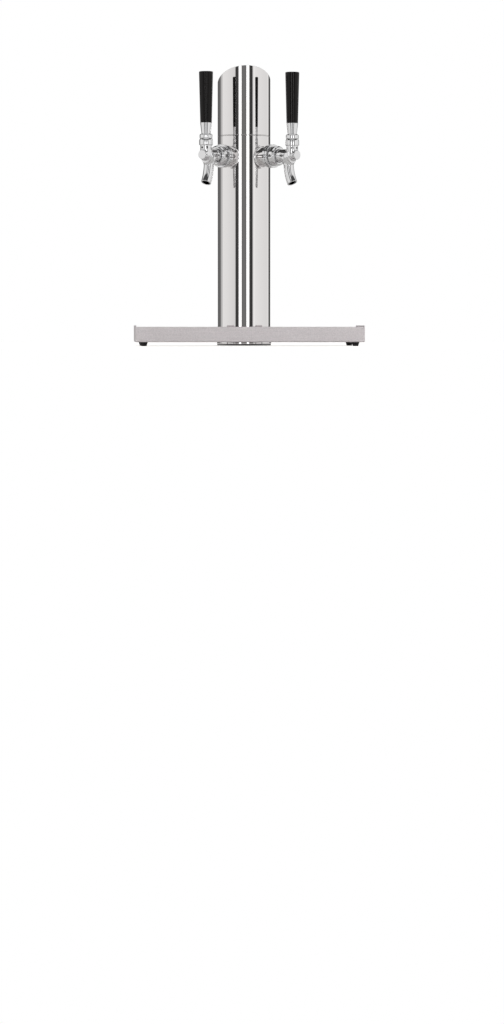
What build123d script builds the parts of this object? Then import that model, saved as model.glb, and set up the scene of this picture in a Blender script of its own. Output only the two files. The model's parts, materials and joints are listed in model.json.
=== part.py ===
from build123d import *
from math import cos, radians, sin, sqrt, tan
import os

# Beer tap tower: a column with two rear-closing faucets, and the drip tray at its foot.
# Origin: centre of the column's foot on the counter. +Z up, the tray lies to -Y, +X to the right.
# The tower stands turned a little to the right of the tray. All sizes in millimetres.

# ---------- Driving dimensions ----------
column_diameter = 76.2
column_wall = 1.5
tower_height = 400.0
cap_height = 100.0
cap_slant = 30.0
lid_thickness = 1.5
tap_below_seam = 30.0
tap_spread = 40.0
tower_turn = 2.8
tray_width = 320.0
tray_depth = 128.0

# Clearances
weld_gap = 0.1
running_gap = 0.08
loose_gap = 0.35

# Foot
gasket_thickness = 1.5
gasket_inset = 0.5
foot_overhang = 1.2
foot_thickness = 4.0
foot_spigot_height = 8.0
foot_bore = 46.0
bolt_circle = 59.5
bolt_count = 4
bolt_tapping = 5.0
bolt_passage = 6.6

# Insulation
insulation_bore = 47.0
insulation_below_taps = 36.0

# Cap joint
lip_thickness = 1.0
lip_overhang = 0.3
spigot_depth = 12.0
spigot_rise = 15.0
spigot_wall = 2.5
seal_section = 1.5
seal_groove_width = 1.8

# Welded stub, flange and shank
stub_diameter = 27.0
stub_length = 12.9
stub_flare = 2.5
flange_diameter = 33.2
flange_length = 9.0
flange_groove_width = 1.2
flange_groove_depth = 1.0
flange_chamfer = 0.6
shank_diameter = 22.2
shank_bore = 9.5
shank_inside = 16.6
shank_mouth_diameter = 16.4
shank_mouth_depth = 10.0
collar_diameter = 24.2
collar_length = 3.0
lock_nut_flats = 28.0
lock_nut_length = 6.0
saddle_diameter = 31.0
saddle_thickness = 5.8

# Elbow tail and hose barb
elbow_diameter = 9.4
elbow_bore = 7.0
elbow_insertion = 10.0
elbow_radius = 10.5
barb_diameter = 11.0
barb_count = 3
barb_pitch = 5.0
barb_land = 1.0
barb_drop = 9.0

# Coupling nut and its washer
nut_diameter = 28.4
nut_length = 10.5
nut_front_wall = 3.0
nut_rounding = 3.2
nut_gap = 0.3
spanner_hole = 4.4
spanner_count = 4
coupling_washer_thickness = 1.6

# Faucet body
nut_to_lever = 24.7
nut_to_seat = 1.2
tail_collar_diameter = 23.6
neck_diameter = 18.8
barrel_diameter = 16.4
barrel_top = 13.2
thread_diameter = 16.6
boss_diameter = 13.2
boss_projection = 10.0
boss_chamfer = 0.7
chamber_diameter = 15.0
valve_bore = 9.0
bore_end_wall = 2.0
vent_diameter = 3.0
vent_height = 10.0
vent_half_angle = 27.0
vent_turn = 18.0
spout_diameter = 14.4
spout_bore = 11.2
spout_offset = 7.2
spout_tip_offset = 0.3
spout_drop = 39.5
spout_lean = 27.0
web_thickness = 9.0
web_size = 7.0
arm_front_room = 1.2
arm_room = 0.8
arm_slot_floor = 2.0
arm_slot_overlap = 1.0

# Lever, bonnet and collar
pivot_height = 17.5
ball_diameter = 12.0
ball_gap = 0.3
lever_travel = 25.0
arm_diameter = 4.4
arm_tip_diameter = 5.4
stem_diameter = 6.4
lever_thread = 9.5
lever_thread_length = 12.0
ball_washer_thickness = 1.4
ball_washer_lip = 0.7
friction_ring_rise = 2.0
friction_ring_thickness = 1.4
bonnet_diameter = 19.5
bonnet_chamfer = 0.45
bonnet_land = 2.6
bonnet_mouth = 7.3
collar_outer = 18.4
collar_bottom = 23.1
collar_top = 29.6
collar_shoulder = 2.4

# Handle
ferrule_bottom_diameter = 12.9
ferrule_top_diameter = 16.6
ferrule_length = 15.6
grip_bottom_diameter = 16.4
grip_top_diameter = 20.0
grip_length = 72.0
grip_rounding = 1.2
stud_diameter = 6.0
stud_in_grip = 20.0
stud_in_ferrule = 3.0

# Valve shaft
shaft_thread = 4.0
shaft_stem = 5.0
seat_washer_diameter = 13.0
seat_washer_thickness = 3.0
shaft_nut_diameter = 8.0
shaft_nut_thickness = 2.2
shaft_thread_tail = 0.4
seat_to_guide = 10.5
guide_length = 3.0
guide_flats = 6.8
yoke_length = 11.8
yoke_shift = 0.6
slot_clearance = 0.25
slot_depth = 3.4

# Drip tray
tray_gap = 2.7
tray_sheet = 1.4
tray_wall_height = 21.2
tray_side_rise = 2.0
tray_bend = 1.5
foot_pad_height = 5.5
foot_pad_top = 11.0
foot_pad_bottom = 7.5
foot_pad_inset_x = 12.0
foot_pad_inset_y = 13.0
foot_screw_head = 5.5
foot_screw_head_height = 1.5
foot_screw_shank = 3.0
foot_screw_length = 5.0
grille_clearance = 1.0
grille_sheet = 1.2
grille_height = 12.0
grille_bend = 1.0
slot_width = 4.0
slot_length = 30.0
slot_pitch_x = 10.0
slot_pitch_y = 36.0
slot_rows = 3
grille_margin = 14.0

# ---------- Values worked out from them ----------
column_radius = column_diameter / 2
column_bore = column_radius - column_wall
foot_diameter = column_diameter + 2 * foot_overhang
seam_height = tower_height - cap_height
tap_height = seam_height - tap_below_seam
foot_top = gasket_thickness + foot_thickness
cap_bottom = seam_height + lip_thickness
stub_end = column_radius + stub_length
flange_end = stub_end + flange_length
nut_start = flange_end + nut_gap
nut_end = nut_start + nut_length
seat_position = nut_end + nut_to_seat
rear_guide_position = seat_position + seat_to_guide
faucet_reach = nut_end + nut_to_lever
shank_tail = column_bore - shank_inside
shank_clear = shank_diameter + 2 * nut_gap
collar_end = flange_end + collar_length
washer_end = collar_end + coupling_washer_thickness
saddle_start = sqrt(column_bore**2 - (saddle_diameter / 2) ** 2) - saddle_thickness / 2
lock_nut_start = saddle_start - lock_nut_length
bore_end = faucet_reach + boss_projection - bore_end_wall
friction_base = pivot_height + friction_ring_rise
bonnet_top = friction_base + friction_ring_thickness
dome_base = pivot_height + bonnet_land
dome_radius = sqrt((bonnet_diameter / 2) ** 2 + bonnet_land**2)
dome_top = pivot_height + sqrt(dome_radius**2 - bonnet_mouth**2)
hollow_radius = dome_radius + ball_gap
ferrule_top = collar_top + ferrule_length
grip_top = ferrule_top + grip_length
tray_back = -(foot_diameter / 2 + tray_gap)
tray_middle = tray_back - tray_depth / 2
tray_floor = foot_pad_height + tray_sheet

front_x = sin(radians(tower_turn))
front_y = -cos(radians(tower_turn))
slant_fall = sin(radians(cap_slant))
lid_top = Plane(
    origin=(column_radius * front_x, column_radius * front_y, tower_height),
    x_dir=(-front_y, front_x, 0),
    z_dir=(-front_x * slant_fall, -front_y * slant_fall, cos(radians(cap_slant))),
)
tap_turns = {"left": tower_turn - tap_spread, "right": tower_turn + tap_spread}

# The taps are modelled facing -Y and turned to each side when they are placed.
tap_side = Plane(origin=(0, 0, tap_height), x_dir=(0, -1, 0), z_dir=(-1, 0, 0))
lever_side = Plane(origin=(0, -faucet_reach, tap_height), x_dir=(0, -1, 0), z_dir=(-1, 0, 0))


def across(distance):
    """The plane square to the tap, this far out from the column's centre."""
    return Plane(origin=(0, -distance, tap_height), x_dir=(1, 0, 0), z_dir=(0, -1, 0))


def level(height):
    """The horizontal plane on the lever's axis, this far above the tap's axis."""
    return Plane(origin=(0, -faucet_reach, tap_height + height))


def save(part, name):
    """Label a finished piece and write its STEP file."""
    part.label = name
    export_step(part, f"parts/{name}.step")


os.makedirs("parts", exist_ok=True)

# ---------- Foot ----------
with BuildPart() as base_gasket:
    with BuildSketch():
        Circle(foot_diameter / 2 - gasket_inset)
        Circle(foot_bore / 2, mode=Mode.SUBTRACT)
        with PolarLocations(bolt_circle / 2, bolt_count, start_angle=180 / bolt_count):
            Circle(bolt_passage / 2, mode=Mode.SUBTRACT)
    extrude(amount=gasket_thickness)
save(base_gasket.part, "base_gasket")

with BuildPart() as foot_ring:
    with BuildSketch(Plane.XY.offset(gasket_thickness)):
        Circle(foot_diameter / 2)
    extrude(amount=foot_thickness)
    fillet(foot_ring.edges().group_by(Axis.Z)[-1], (foot_diameter - column_diameter) / 4)
    with BuildSketch(Plane.XY.offset(foot_top)):
        Circle(column_bore - weld_gap)
    extrude(amount=foot_spigot_height)
    with BuildSketch(Plane.XY.offset(gasket_thickness)):
        Circle(foot_bore / 2)
        with PolarLocations(bolt_circle / 2, bolt_count, start_angle=180 / bolt_count):
            Circle(bolt_tapping / 2)
    extrude(amount=foot_thickness + foot_spigot_height, mode=Mode.SUBTRACT)
save(foot_ring.part, "foot_ring")

# ---------- Column ----------
with BuildPart() as column_tube:
    with BuildSketch(Plane.XY.offset(foot_top)):
        Circle(column_radius)
        Circle(column_bore, mode=Mode.SUBTRACT)
    extrude(amount=seam_height - foot_top)
    for turn in tap_turns.values():
        direction = Vector(sin(radians(turn)), -cos(radians(turn)), 0)
        with BuildSketch(Plane(origin=(0, 0, tap_height), z_dir=direction)):
            Circle(shank_clear / 2)
        extrude(amount=column_diameter, mode=Mode.SUBTRACT)
save(column_tube.part, "column_tube")

with BuildPart() as insulation_sleeve:
    with BuildSketch(Plane.XY.offset(foot_top + foot_spigot_height)):
        Circle(column_bore - weld_gap)
        Circle(insulation_bore / 2, mode=Mode.SUBTRACT)
    extrude(amount=tap_height - insulation_below_taps - foot_top - foot_spigot_height)
save(insulation_sleeve.part, "insulation_sleeve")

# ---------- Cap: tube, slanted lid, and the spigot that plugs into the column ----------
with BuildPart() as cap_tube:
    with BuildSketch(Plane.XY.offset(cap_bottom)):
        Circle(column_radius)
        Circle(column_bore, mode=Mode.SUBTRACT)
    extrude(amount=tower_height - cap_bottom)
    split(bisect_by=lid_top.offset(-lid_thickness), keep=Keep.BOTTOM)
save(cap_tube.part, "cap_tube")

with BuildPart() as cap_lid:
    with BuildSketch(Plane.XY.offset(cap_bottom)):
        Circle(column_radius)
    extrude(amount=tower_height - cap_bottom)
    split(bisect_by=lid_top, keep=Keep.BOTTOM)
    split(bisect_by=lid_top.offset(-lid_thickness), keep=Keep.TOP)
    fillet(cap_lid.faces().sort_by(Axis.Z)[-1].edges(), lid_thickness / 4)
save(cap_lid.part, "cap_lid")

spigot_radius = column_bore - loose_gap
seal_radius = column_bore - running_gap - seal_section / 2
groove_radius = seal_radius - seal_section / 2 - weld_gap
groove_height = seam_height - spigot_depth / 2

with BuildPart() as cap_spigot:
    with BuildSketch(Plane.XY.offset(seam_height - spigot_depth)):
        Circle(spigot_radius)
    extrude(amount=spigot_depth)
    with BuildSketch(Plane.XY.offset(seam_height)):
        Circle(column_radius + lip_overhang)
    extrude(amount=lip_thickness)
    with BuildSketch(Plane.XY.offset(cap_bottom)):
        Circle(column_bore - weld_gap)
    extrude(amount=spigot_rise)
    with BuildSketch(Plane.XY.offset(seam_height - spigot_depth)):
        Circle(spigot_radius - spigot_wall)
    extrude(amount=spigot_depth + lip_thickness + spigot_rise, mode=Mode.SUBTRACT)
    with BuildSketch(Plane.XY.offset(groove_height - seal_groove_width / 2)):
        Circle(column_radius)
        Circle(groove_radius, mode=Mode.SUBTRACT)
    extrude(amount=seal_groove_width, mode=Mode.SUBTRACT)
save(cap_spigot.part, "cap_spigot")

with BuildPart() as cap_seal:
    with BuildSketch(Plane.XZ):
        with Locations((seal_radius, groove_height)):
            Circle(seal_section / 2)
    revolve(axis=Axis.Z)
save(cap_seal.part, "cap_seal")

# ---------- Tap: stub, flange, shank and its fastening ----------
with BuildPart() as tap_stub:
    with Locations((0, 0, tap_height)):
        Cylinder(column_radius, 3 * stub_diameter)
    with BuildSketch(across(0)):
        Circle(stub_diameter / 2)
    extrude(amount=stub_end)
    seam = tap_stub.edges().filter_by(GeomType.CIRCLE, reverse=True)
    fillet(seam.filter_by(GeomType.LINE, reverse=True), stub_flare)
    with Locations((0, 0, tap_height)):
        Cylinder(column_radius, 3 * stub_diameter, mode=Mode.SUBTRACT)
    with BuildSketch(across(0)):
        Circle(shank_clear / 2)
    extrude(amount=stub_end, mode=Mode.SUBTRACT)

groove_start = stub_end + flange_length / 2
flange_radius = flange_diameter / 2

with BuildPart() as shank_flange:
    with BuildSketch(across(stub_end)):
        Circle(flange_radius)
    extrude(amount=flange_length)
    chamfer(shank_flange.edges().group_by(Axis.Y)[0], flange_chamfer)
    chamfer(shank_flange.edges().group_by(Axis.Y)[-1], flange_chamfer)
    with BuildSketch(across(groove_start)):
        Circle(flange_radius)
        Circle(flange_radius - flange_groove_depth, mode=Mode.SUBTRACT)
    extrude(amount=flange_groove_width, mode=Mode.SUBTRACT)
    with BuildSketch(across(stub_end)):
        Circle(shank_clear / 2)
    extrude(amount=flange_length, mode=Mode.SUBTRACT)

with BuildPart() as beer_shank:
    with BuildSketch(across(shank_tail)):
        Circle(shank_diameter / 2)
    extrude(amount=flange_end - shank_tail)
    chamfer(beer_shank.edges().group_by(Axis.Y)[-1], flange_chamfer)
    with BuildSketch(across(flange_end)):
        Circle(collar_diameter / 2)
    extrude(amount=collar_length)
    with BuildSketch(across(shank_tail)):
        Circle(shank_bore / 2)
    extrude(amount=collar_end - shank_tail, mode=Mode.SUBTRACT)
    with BuildSketch(across(collar_end)):
        Circle(shank_mouth_diameter / 2)
    extrude(amount=-shank_mouth_depth, mode=Mode.SUBTRACT)

with BuildPart() as saddle_washer:
    with BuildSketch(across(saddle_start)):
        Circle(saddle_diameter / 2)
        Circle(shank_clear / 2, mode=Mode.SUBTRACT)
    extrude(amount=column_radius - saddle_start)
    with Locations((0, 0, tap_height)):
        Cylinder(column_bore, 3 * stub_diameter, mode=Mode.INTERSECT)

with BuildPart() as lock_nut:
    with BuildSketch(across(lock_nut_start)):
        RegularPolygon(lock_nut_flats / 2, 6, major_radius=False)
        Circle(shank_diameter / 2 + weld_gap, mode=Mode.SUBTRACT)
    extrude(amount=lock_nut_length)

drop_start = shank_tail - elbow_radius
barb_start = -(elbow_radius + barb_drop)
barb_radius = barb_diameter / 2

with BuildPart() as shank_elbow:
    with BuildLine(tap_side) as elbow_path:
        entry = Line((shank_tail + elbow_insertion, 0), (shank_tail, 0))
        bend = JernArc(start=entry @ 1, tangent=entry % 1, radius=elbow_radius, arc_size=90)
        Line(bend @ 1, (drop_start, barb_start - barb_count * barb_pitch))
    with BuildSketch(across(shank_tail + elbow_insertion)):
        Circle(elbow_diameter / 2)
    sweep(path=elbow_path.wires()[0])
    for index in range(barb_count):
        barb_base = tap_height + barb_start - (index + 1) * barb_pitch
        with BuildSketch(Plane(origin=(0, -drop_start, barb_base))):
            Circle(elbow_diameter / 2 - weld_gap)
        with BuildSketch(Plane(origin=(0, -drop_start, barb_base + barb_pitch - barb_land))):
            Circle(barb_radius)
        loft()
    with BuildSketch(across(shank_tail + elbow_insertion)):
        Circle(elbow_bore / 2)
    sweep(path=elbow_path.wires()[0], mode=Mode.SUBTRACT)

# ---------- Tap: coupling ----------
with BuildPart() as coupling_nut:
    with BuildSketch(across(nut_start)):
        Circle(nut_diameter / 2)
    extrude(amount=nut_end - nut_start)
    fillet(coupling_nut.edges().group_by(Axis.Y)[0], nut_rounding)
    with BuildSketch(across(nut_start)):
        Circle(collar_diameter / 2 + weld_gap)
    extrude(amount=nut_end - nut_start - nut_front_wall, mode=Mode.SUBTRACT)
    with BuildSketch(across(nut_start)):
        Circle(neck_diameter / 2 + nut_gap)
    extrude(amount=nut_end - nut_start, mode=Mode.SUBTRACT)
    with Locations(across(nut_start + (nut_end - nut_start - nut_front_wall) / 2)):
        with PolarLocations(0, spanner_count):
            Cylinder(
                spanner_hole / 2,
                nut_diameter,
                rotation=(0, 90, 0),
                align=(Align.CENTER, Align.CENTER, Align.MIN),
                mode=Mode.SUBTRACT,
            )

with BuildPart() as coupling_washer:
    with BuildSketch(across(collar_end)):
        Circle(tail_collar_diameter / 2)
        Circle(shank_mouth_diameter / 2, mode=Mode.SUBTRACT)
    extrude(amount=coupling_washer_thickness)

# ---------- Tap: faucet body ----------
spout_top = faucet_reach - spout_offset
spout_rear = spout_top - spout_diameter / 2
web_top = web_thickness / 2 - neck_diameter / 2
spout_run = spout_offset + spout_tip_offset
spout_radius = spout_run / (1 - cos(radians(spout_lean)))
spout_knee = -spout_drop + spout_radius * sin(radians(spout_lean))
barrel_radius = barrel_diameter / 2
ball_bore = ball_diameter / 2 + ball_gap
ball_washer_bore = ball_diameter - 2 * ball_washer_lip
ball_at_washer = pivot_height - sqrt((ball_diameter / 2) ** 2 - (ball_washer_bore / 2) ** 2)
washer_seat = ball_at_washer - ball_gap - ball_washer_thickness
ball_bottom = pivot_height - ball_diameter / 2 - ball_gap
arm_swing = tan(radians(lever_travel))
arm_half = arm_diameter / 2 + arm_room
slot_top = washer_seat + arm_slot_overlap

with BuildPart() as faucet_casting:
    with BuildSketch(across(washer_end)):
        Circle(tail_collar_diameter / 2)
    extrude(amount=nut_end - nut_front_wall - washer_end)
    with BuildSketch(across(washer_end)):
        Circle(neck_diameter / 2)
    extrude(amount=faucet_reach - washer_end)
    with BuildSketch(across(faucet_reach)):
        Circle(boss_diameter / 2)
    extrude(amount=boss_projection)
    chamfer(faucet_casting.edges().group_by(Axis.Y)[0], boss_chamfer)
    with BuildSketch(level(0)):
        Circle(barrel_radius)
    extrude(amount=barrel_top)
    with BuildSketch(level(barrel_top)):
        Circle(thread_diameter / 2)
    extrude(amount=friction_base - barrel_top)
    with Locations(level(0)):
        Sphere(barrel_radius)
    with BuildLine(tap_side) as spout_path:
        drop = Line((spout_top, 0), (spout_top, spout_knee))
        JernArc(start=drop @ 1, tangent=drop % 1, radius=spout_radius, arc_size=spout_lean)
    with BuildSketch(Plane(origin=(0, -spout_top, tap_height))):
        Circle(spout_diameter / 2)
    sweep(path=spout_path.wires()[0])
    with BuildSketch(tap_side):
        Polygon(
            (spout_rear - web_size, web_top),
            (spout_top, web_top),
            (spout_top, -neck_diameter / 2 - web_size),
            (spout_rear, -neck_diameter / 2 - web_size),
            align=None,
        )
    extrude(amount=web_thickness / 2, both=True)
    with BuildSketch(Plane(origin=(0, -spout_top, tap_height))):
        Circle(spout_bore / 2)
    sweep(path=spout_path.wires()[0], mode=Mode.SUBTRACT)
    with BuildSketch(across(washer_end)):
        Circle(chamber_diameter / 2)
    extrude(amount=seat_position - washer_end, mode=Mode.SUBTRACT)
    with BuildSketch(across(seat_position)):
        Circle(valve_bore / 2)
    extrude(amount=bore_end - seat_position, mode=Mode.SUBTRACT)
    with BuildSketch(level(washer_seat)):
        Circle(ball_bore)
    extrude(amount=friction_base - washer_seat, mode=Mode.SUBTRACT)
    with BuildSketch(level(washer_seat)):
        Circle(ball_washer_bore / 2)
    extrude(amount=ball_bottom - washer_seat, mode=Mode.SUBTRACT)
    with BuildSketch(lever_side):
        Polygon(
            (arm_diameter / 2 + arm_front_room, slot_top),
            (arm_diameter / 2 + arm_front_room, 0),
            (-arm_swing * pivot_height - arm_half, arm_slot_floor),
            (-arm_swing * (pivot_height - washer_seat) - arm_half, slot_top),
            align=None,
        )
    extrude(amount=arm_half, both=True, mode=Mode.SUBTRACT)

# ---------- Tap: valve ----------
washer_rear = seat_position - seat_washer_thickness
shaft_rear = washer_rear - shaft_nut_thickness - shaft_thread_tail
yoke_start = faucet_reach - yoke_length / 2 + yoke_shift
slot_half = arm_tip_diameter / 2 + slot_clearance

with BuildPart() as valve_shaft:
    with BuildSketch(across(shaft_rear)):
        Circle(shaft_thread / 2)
    extrude(amount=seat_position - shaft_rear)
    with BuildSketch(across(seat_position)):
        Circle(shaft_stem / 2)
    extrude(amount=yoke_start - seat_position)
    with BuildSketch(across(rear_guide_position - guide_length / 2)):
        Circle(valve_bore / 2 - running_gap)
        Rectangle(guide_flats, guide_flats, mode=Mode.INTERSECT)
    extrude(amount=guide_length)
    with BuildSketch(across(yoke_start)):
        Circle(valve_bore / 2 - running_gap)
    extrude(amount=yoke_length)
    with BuildSketch(lever_side):
        Polygon(
            (-slot_half, -slot_depth),
            (slot_half, -slot_depth),
            (slot_half, slot_clearance),
            (slot_half + valve_bore / 2 * arm_swing, valve_bore / 2),
            (-slot_half, valve_bore / 2),
            align=None,
        )
    extrude(amount=slot_half, both=True, mode=Mode.SUBTRACT)

with BuildPart() as seat_washer:
    with BuildSketch(across(washer_rear)):
        Circle(seat_washer_diameter / 2)
        Circle(shaft_thread / 2 + weld_gap, mode=Mode.SUBTRACT)
    extrude(amount=seat_washer_thickness)

with BuildPart() as shaft_nut:
    with BuildSketch(across(washer_rear)):
        RegularPolygon(shaft_nut_diameter / 2, 6)
        Circle(shaft_thread / 2 + weld_gap, mode=Mode.SUBTRACT)
    extrude(amount=-shaft_nut_thickness)

# ---------- Tap: lever, its bearings and the bonnet ----------
with BuildPart() as lever:
    with Locations(level(pivot_height)):
        Sphere(ball_diameter / 2)
    with BuildSketch(level(0)):
        Circle(arm_diameter / 2)
    extrude(amount=pivot_height)
    with Locations(level(0)):
        Sphere(arm_tip_diameter / 2)
    with BuildSketch(level(pivot_height)):
        Circle(stem_diameter / 2)
    extrude(amount=collar_top - pivot_height)
    with BuildSketch(level(collar_top - collar_shoulder)):
        Circle(lever_thread / 2)
    extrude(amount=collar_shoulder + lever_thread_length)

with BuildPart() as ball_washer:
    with BuildSketch(level(washer_seat)):
        Circle(ball_bore - weld_gap)
        Circle(ball_washer_bore / 2, mode=Mode.SUBTRACT)
    extrude(amount=ball_washer_thickness)

friction_bore = sqrt((ball_diameter / 2) ** 2 - (friction_base - pivot_height) ** 2) + ball_gap

with BuildPart() as friction_ring:
    with BuildSketch(level(friction_base)):
        Circle(thread_diameter / 2)
        Circle(friction_bore, mode=Mode.SUBTRACT)
    extrude(amount=friction_ring_thickness)

with BuildPart() as bonnet:
    with Locations(level(pivot_height)):
        Sphere(dome_radius)
    split(bisect_by=level(dome_base), keep=Keep.TOP)
    split(bisect_by=level(dome_top), keep=Keep.BOTTOM)
    with BuildSketch(level(barrel_top)):
        Circle(bonnet_diameter / 2)
    extrude(amount=dome_base - barrel_top)
    chamfer(bonnet.edges().group_by(Axis.Z)[0], bonnet_chamfer)
    with BuildSketch(level(bonnet_top)):
        Circle(friction_bore)
    with BuildSketch(level(dome_top)):
        Circle(bonnet_mouth)
    loft(mode=Mode.SUBTRACT)
    with BuildSketch(level(barrel_top)):
        Circle(thread_diameter / 2 + weld_gap)
    extrude(amount=bonnet_top - barrel_top, mode=Mode.SUBTRACT)

with BuildPart() as lever_collar:
    with BuildSketch(level(collar_bottom)):
        Circle(collar_outer / 2)
    extrude(amount=collar_top - collar_bottom)
    fillet(lever_collar.edges().group_by(Axis.Z)[-1], collar_shoulder)
    with Locations(level(pivot_height)):
        Sphere(hollow_radius, mode=Mode.SUBTRACT)
    with BuildSketch(level(collar_bottom)):
        Circle(lever_thread / 2 + weld_gap)
    extrude(amount=collar_top - collar_bottom, mode=Mode.SUBTRACT)

# ---------- Tap: handle ----------
with BuildPart() as handle_ferrule:
    with BuildSketch(level(collar_top)):
        Circle(ferrule_bottom_diameter / 2)
    with BuildSketch(level(ferrule_top)):
        Circle(ferrule_top_diameter / 2)
    loft()
    with BuildSketch(level(collar_top)):
        Circle(lever_thread / 2 + weld_gap)
    extrude(amount=lever_thread_length, mode=Mode.SUBTRACT)
    with BuildSketch(level(collar_top)):
        Circle(stud_diameter / 2 + weld_gap)
    extrude(amount=ferrule_length, mode=Mode.SUBTRACT)

with BuildPart() as handle_stud:
    with BuildSketch(level(ferrule_top - stud_in_ferrule)):
        Circle(stud_diameter / 2)
    extrude(amount=stud_in_ferrule + stud_in_grip)

with BuildPart() as handle_grip:
    with BuildSketch(level(ferrule_top)):
        Circle(grip_bottom_diameter / 2)
    with BuildSketch(level(grip_top)):
        Circle(grip_top_diameter / 2)
    loft()
    fillet(handle_grip.edges().group_by(Axis.Z)[-1], grip_rounding)
    with BuildSketch(level(ferrule_top)):
        Circle(stud_diameter / 2 + weld_gap)
    extrude(amount=stud_in_grip, mode=Mode.SUBTRACT)

# ---------- The two taps, each turned to its side ----------
tap_pieces = {
    "tap_stub": tap_stub,
    "shank_flange": shank_flange,
    "beer_shank": beer_shank,
    "saddle_washer": saddle_washer,
    "lock_nut": lock_nut,
    "shank_elbow": shank_elbow,
    "coupling_nut": coupling_nut,
    "coupling_washer": coupling_washer,
    "valve_shaft": valve_shaft,
    "seat_washer": seat_washer,
    "shaft_nut": shaft_nut,
    "lever": lever,
    "ball_washer": ball_washer,
    "friction_ring": friction_ring,
    "bonnet": bonnet,
    "lever_collar": lever_collar,
    "handle_ferrule": handle_ferrule,
    "handle_stud": handle_stud,
    "handle_grip": handle_grip,
}

for side, turn in tap_turns.items():
    for name, piece in tap_pieces.items():
        with BuildPart() as placed:
            add(piece.part, rotation=(0, 0, turn))
        save(placed.part, f"{side}_{name}")

    # The vent holes stand either side of a line turned in towards the front of the tower.
    inward = -vent_turn if side == "right" else vent_turn
    with BuildPart() as faucet_body:
        add(faucet_casting.part)
        for bearing in (inward - vent_half_angle, inward + vent_half_angle):
            outward = Vector(sin(radians(bearing)), -cos(radians(bearing)), 0)
            vent_origin = (0, -faucet_reach, tap_height + vent_height)
            with BuildSketch(Plane(origin=vent_origin, z_dir=outward)):
                Circle(vent_diameter / 2)
            extrude(amount=barrel_diameter, mode=Mode.SUBTRACT)
    with BuildPart() as placed:
        add(faucet_body.part, rotation=(0, 0, turn))
    save(placed.part, f"{side}_faucet_body")

# ---------- Drip tray ----------
tray_centre = Plane(origin=(0, tray_middle, foot_pad_height))
side_top = tray_wall_height + tray_side_rise

with BuildPart() as tray_pan:
    with BuildSketch(tray_centre):
        Rectangle(tray_width, tray_depth)
    extrude(amount=side_top)
    fillet(tray_pan.edges().filter_by(Axis.Z), tray_bend)
    fillet(tray_pan.faces().sort_by(Axis.Z)[0].edges(), tray_bend)
    with BuildSketch(tray_centre.offset(tray_sheet)):
        Rectangle(tray_width - 2 * tray_sheet, tray_depth - 2 * tray_sheet)
    extrude(amount=side_top, mode=Mode.SUBTRACT)
    with BuildSketch(tray_centre.offset(tray_wall_height)):
        Rectangle(tray_width - 2 * tray_sheet, tray_depth)
    extrude(amount=side_top, mode=Mode.SUBTRACT)
    pad_spacing_x = tray_width - 2 * foot_pad_inset_x
    pad_spacing_y = tray_depth - 2 * foot_pad_inset_y
    with BuildSketch(tray_centre):
        with GridLocations(pad_spacing_x, pad_spacing_y, 2, 2):
            Circle(foot_screw_shank / 2 + weld_gap)
    extrude(amount=tray_sheet, mode=Mode.SUBTRACT)
save(tray_pan.part, "tray_pan")

with BuildPart() as tray_feet:
    with GridLocations(pad_spacing_x, pad_spacing_y, 2, 2):
        with Locations((0, tray_middle, foot_pad_height / 2)):
            Cone(foot_pad_bottom / 2, foot_pad_top / 2, foot_pad_height)
            Cylinder(foot_screw_shank / 2, foot_pad_height, mode=Mode.SUBTRACT)
save(tray_feet.part, "tray_feet")

with BuildPart() as tray_foot_screws:
    with GridLocations(pad_spacing_x, pad_spacing_y, 2, 2):
        with Locations((0, tray_middle, tray_floor)):
            Cylinder(
                foot_screw_head / 2,
                foot_screw_head_height,
                align=(Align.CENTER, Align.CENTER, Align.MIN),
            )
            Cylinder(
                foot_screw_shank / 2 - weld_gap,
                foot_screw_length,
                align=(Align.CENTER, Align.CENTER, Align.MAX),
            )
save(tray_foot_screws.part, "tray_foot_screws")

grille_width = tray_width - 2 * (tray_sheet + grille_clearance)
grille_depth = tray_depth - 2 * (tray_sheet + grille_clearance)
slot_columns = int((grille_width - 2 * grille_margin) / slot_pitch_x)

with BuildPart() as tray_grille:
    with BuildSketch(tray_centre.offset(tray_sheet)):
        Rectangle(grille_width, grille_depth)
    extrude(amount=grille_height)
    fillet(tray_grille.edges().filter_by(Axis.Z), grille_bend)
    fillet(tray_grille.faces().sort_by(Axis.Z)[-1].edges(), grille_bend)
    with BuildSketch(tray_centre.offset(tray_sheet)):
        Rectangle(grille_width - 2 * grille_sheet, grille_depth - 2 * grille_sheet)
    extrude(amount=grille_height - grille_sheet, mode=Mode.SUBTRACT)
    with BuildSketch(tray_centre.offset(tray_sheet)):
        with GridLocations(slot_pitch_x, slot_pitch_y, slot_columns, slot_rows):
            SlotOverall(slot_length, slot_width, rotation=90)
    extrude(amount=grille_height, mode=Mode.SUBTRACT)
save(tray_grille.part, "tray_grille")
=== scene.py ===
"""Beer tap tower: a polished column with two faucets and a drip tray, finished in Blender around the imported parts.
Sizes are in metres, +Z is up, and the drinker stands on the -Y side."""

import json
import math

import bmesh
import bpy
import numpy as np
from bpy.props import FloatProperty, FloatVectorProperty, IntProperty, PointerProperty
from mathutils import Matrix, Vector


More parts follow.
